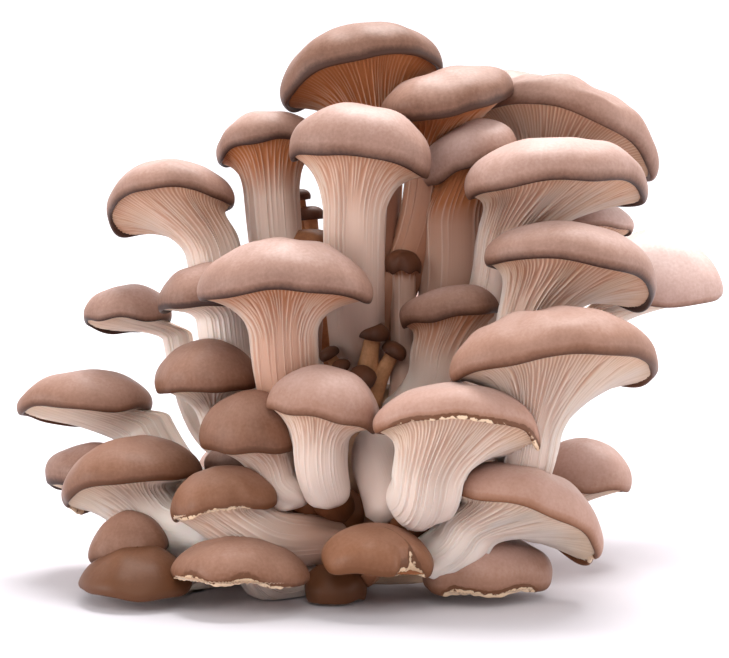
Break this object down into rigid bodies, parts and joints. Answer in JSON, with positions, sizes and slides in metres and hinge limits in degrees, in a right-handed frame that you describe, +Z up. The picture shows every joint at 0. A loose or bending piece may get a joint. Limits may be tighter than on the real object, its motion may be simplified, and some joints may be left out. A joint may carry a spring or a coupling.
{
  "type": "oyster mushroom cluster",
  "caption": "Cluster of oyster mushrooms: domed brown caps on pale, gilled, curving stems that fan out from a lumpy base with a flat cut underside.",
  "frame": {"origin": "middle of the flat cut face under the base, on the ground", "axes": "+Z up; the side seen in the picture faces -Y; +X to the right in the picture"},
  "size_m": [0.2609, 0.1973, 0.1972],
  "materials": {
    "cap_skin": "satin-matte taupe-brown skin, darker at the margin and paler on top",
    "pale_flesh": "matte cream-white gills and stems, warm where light passes through",
    "bud_skin": "matte dark brown skin of the young heads",
    "base_flesh": "matte tan-brown fibrous flesh"
  },
  "bodies": {
    "root": {"base": "base_flesh", "cap_back_centre": "cap_skin", "cap_back_floor_left": "cap_skin", "cap_back_floor_right": "cap_skin", "cap_back_left": "cap_skin", "cap_back_lower": "cap_skin", "cap_back_right": "cap_skin", "cap_back_side": "cap_skin", "cap_back_top": "cap_skin", "cap_back_upper": "cap_skin", "cap_bud_left": "bud_skin", "cap_bud_middle": "bud_skin", "cap_centre": "cap_skin", "cap_centre_right": "cap_skin", "cap_floor_dark": "cap_skin", "cap_floor_front": "cap_skin", "cap_floor_left": "cap_skin", "cap_floor_left_upper": "cap_skin", "cap_floor_right": "cap_skin", "cap_front_bottom": "cap_skin", "cap_front_droop": "cap_skin", "cap_front_left": "cap_skin", "cap_front_right": "cap_skin", "cap_front_torn": "cap_skin", "cap_front_upper": "cap_skin", "cap_high_left": "cap_skin", "cap_high_right": "cap_skin", "cap_left_behind": "cap_skin", "cap_left_centre": "cap_skin", "cap_left_lower": "cap_skin", "cap_left_middle": "cap_skin", "cap_left_outer": "cap_skin", "cap_left_tip": "cap_skin", "cap_left_tucked": "cap_skin", "cap_left_upper": "cap_skin", "cap_middle_left": "cap_skin", "cap_middle_right": "cap_skin", "cap_right_far": "cap_skin", "cap_right_low": "cap_skin", "cap_right_lower": "cap_skin", "cap_right_middle": "cap_skin", "cap_right_small": "cap_skin", "cap_right_upper": "cap_skin", "cap_top": "cap_skin", "cap_top_right": "cap_skin", "pins_back": "bud_skin", "pins_middle": "bud_skin", "stems_back_high": "pale_flesh", "stems_back_low": "pale_flesh", "stems_crown": "pale_flesh", "stems_front": "pale_flesh", "stems_front_low": "pale_flesh", "stems_front_right": "pale_flesh", "stems_left_front": "pale_flesh", "stems_left_high": "pale_flesh", "stems_left_low": "pale_flesh", "stems_left_mid": "pale_flesh", "stems_middle": "pale_flesh", "stems_right_high": "pale_flesh", "stems_right_mid": "pale_flesh"}
  },
  "joints": []
}
